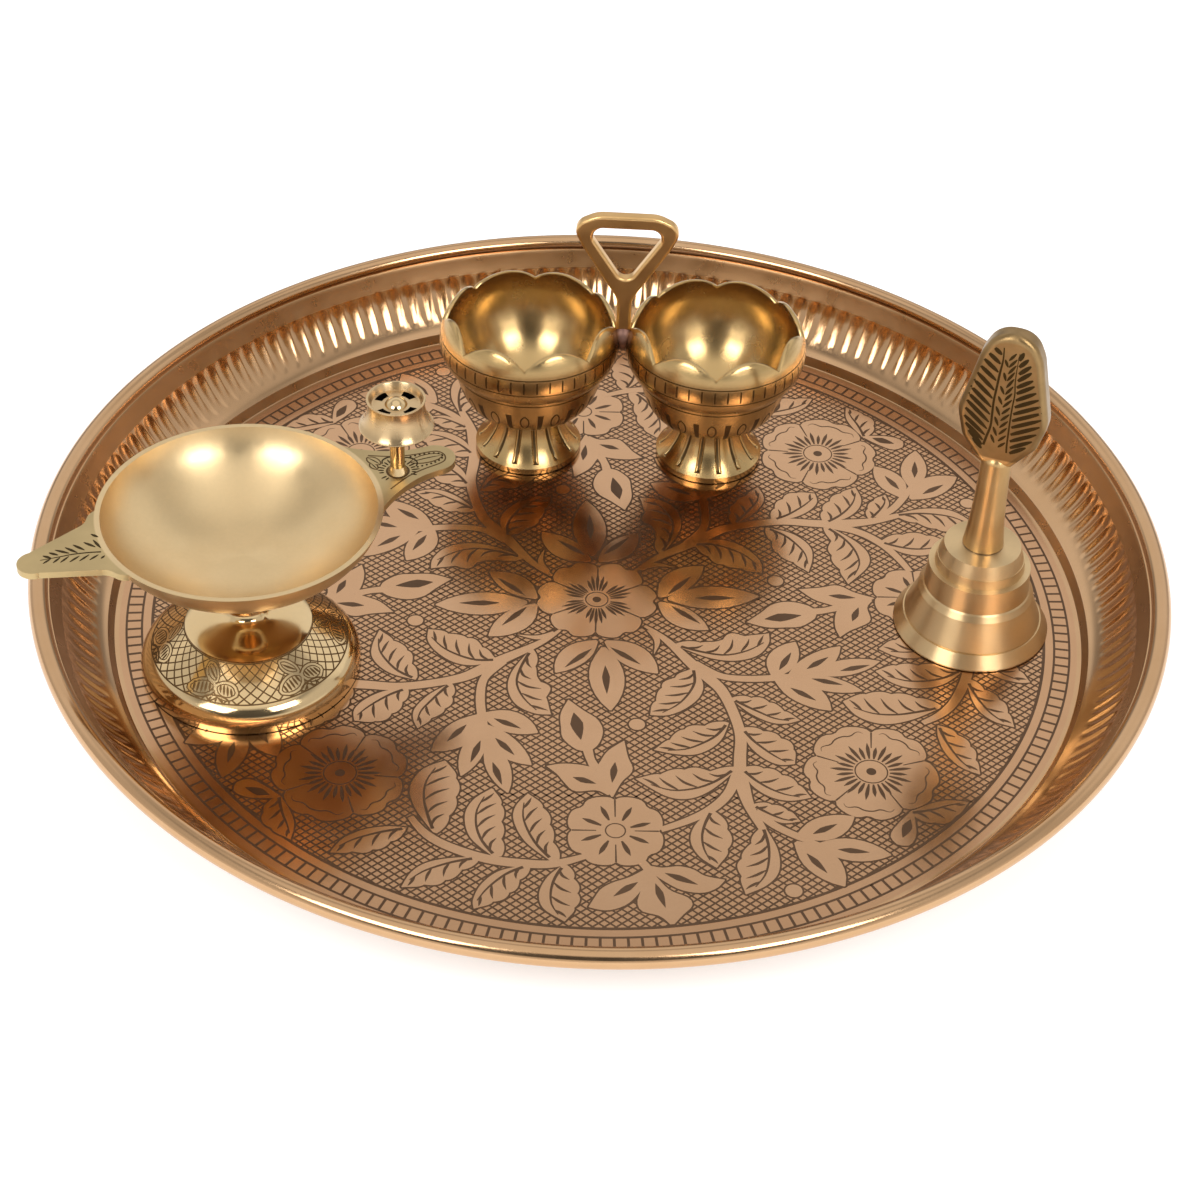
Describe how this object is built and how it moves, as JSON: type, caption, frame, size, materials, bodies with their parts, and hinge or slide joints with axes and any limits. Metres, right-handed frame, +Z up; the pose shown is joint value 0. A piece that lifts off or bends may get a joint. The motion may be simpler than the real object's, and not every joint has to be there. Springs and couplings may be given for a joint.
{
  "type": "puja thali set",
  "caption": "Round etched brass prayer tray with a footed oil lamp and incense head, twin scalloped offering cups on a loop handle, and a hand bell with a leaf handle.",
  "frame": {"origin": "under the middle of the tray, on the surface that it stands on", "axes": "+Z up, +X to the right and +Y away from the viewer as in the picture, so the lamp is at -X, the cups at +Y and the bell at +X"},
  "size_m": [0.305, 0.305, 0.0967],
  "materials": {
    "tray_brass": "etched satin floor, polished rim",
    "lamp_brass": "turned and polished, engraved foot and plates",
    "cup_brass": "turned inside, engraved outside, antiqued recesses",
    "loop_brass": "cast and lightly polished",
    "braze_metal": "rough bead with soot",
    "bell_brass": "turned and polished, carved leaf handle",
    "clapper_brass": "plain turned",
    "steel_hardware": "plain zinc-grey"
  },
  "bodies": {
    "tray": {"tray_pan": "tray_brass"},
    "diya": {"diya_foot": "lamp_brass", "diya_stem": "lamp_brass", "diya_dish": "lamp_brass", "diya_stud": "steel_hardware", "diya_washer": "steel_hardware", "diya_nut": "steel_hardware", "incense_post": "lamp_brass", "incense_head": "lamp_brass"},
    "cup_stand": {"left_cup_foot": "cup_brass", "left_cup_bowl": "cup_brass", "left_cup_rivet": "cup_brass", "right_cup_foot": "cup_brass", "right_cup_bowl": "cup_brass", "right_cup_rivet": "cup_brass", "loop_handle": "loop_brass", "braze_fillet": "braze_metal"},
    "bell": {"bell_body": "bell_brass", "bell_handle": "bell_brass", "clapper_hanger": "clapper_brass"},
    "clapper": {"clapper_rod": "clapper_brass", "clapper_ball": "clapper_brass"}
  },
  "joints": [
    {"name": "diya_lift", "type": "slide", "parent": "tray", "child": "diya", "axis": [0, 0, 1], "range_m": [0, 0.08]},
    {"name": "cup_stand_lift", "type": "slide", "parent": "tray", "child": "cup_stand", "axis": [0, 0, 1], "range_m": [0, 0.08]},
    {"name": "bell_lift", "type": "slide", "parent": "tray", "child": "bell", "axis": [0, 0, 1], "range_m": [0, 0.08]},
    {"name": "clapper_swing", "type": "hinge", "parent": "bell", "child": "clapper", "pos_m": [0.1019, -0.00329, 0.01915], "axis": [1, 0, 0], "range_deg": [-48, 48]}
  ]
}
